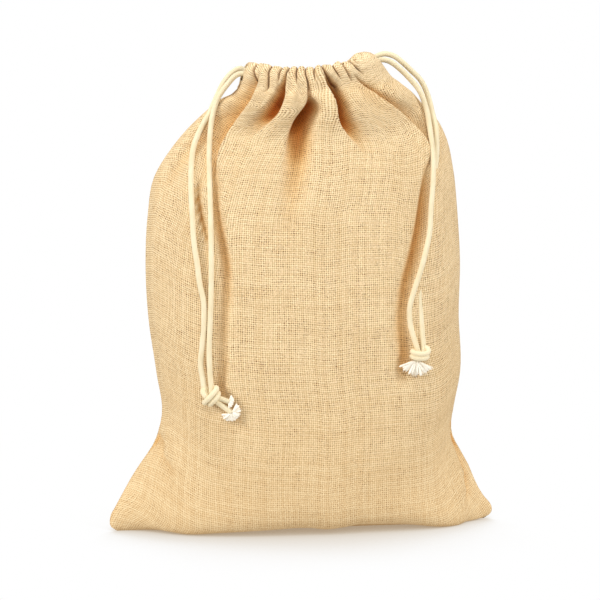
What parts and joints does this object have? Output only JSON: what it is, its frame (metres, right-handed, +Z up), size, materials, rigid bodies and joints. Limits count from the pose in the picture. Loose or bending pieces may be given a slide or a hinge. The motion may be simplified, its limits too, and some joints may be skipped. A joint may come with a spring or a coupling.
{
  "type": "drawstring bag",
  "caption": "Soft jute drawstring bag standing upright, with a gathered top, a folded flat base with pointed lower corners, and cream cotton cords knotted and frayed at both sides",
  "frame": {"origin": "on the floor, at the middle of the bag's width and depth", "axes": "+X across the bag to its right side seam, +Y from the front to the back, +Z up from the base to the gathered mouth"},
  "size_m": [0.3932, 0.141, 0.4789],
  "materials": {
    "jute_cloth": "coarse plain-woven golden jute, matt, with visible threads and slubs",
    "cotton_cord": "soft twisted cream cotton cord, matt, frayed at the cut ends"
  },
  "bodies": {
    "root": {"bag_cloth": "jute_cloth", "cord_left_back": "cotton_cord", "cord_left_front": "cotton_cord", "cord_right_back": "cotton_cord", "cord_right_front": "cotton_cord", "knot_left": "cotton_cord", "knot_right": "cotton_cord", "tuft_left_upper": "cotton_cord", "tuft_left_lower": "cotton_cord", "tuft_right": "cotton_cord"}
  },
  "joints": []
}
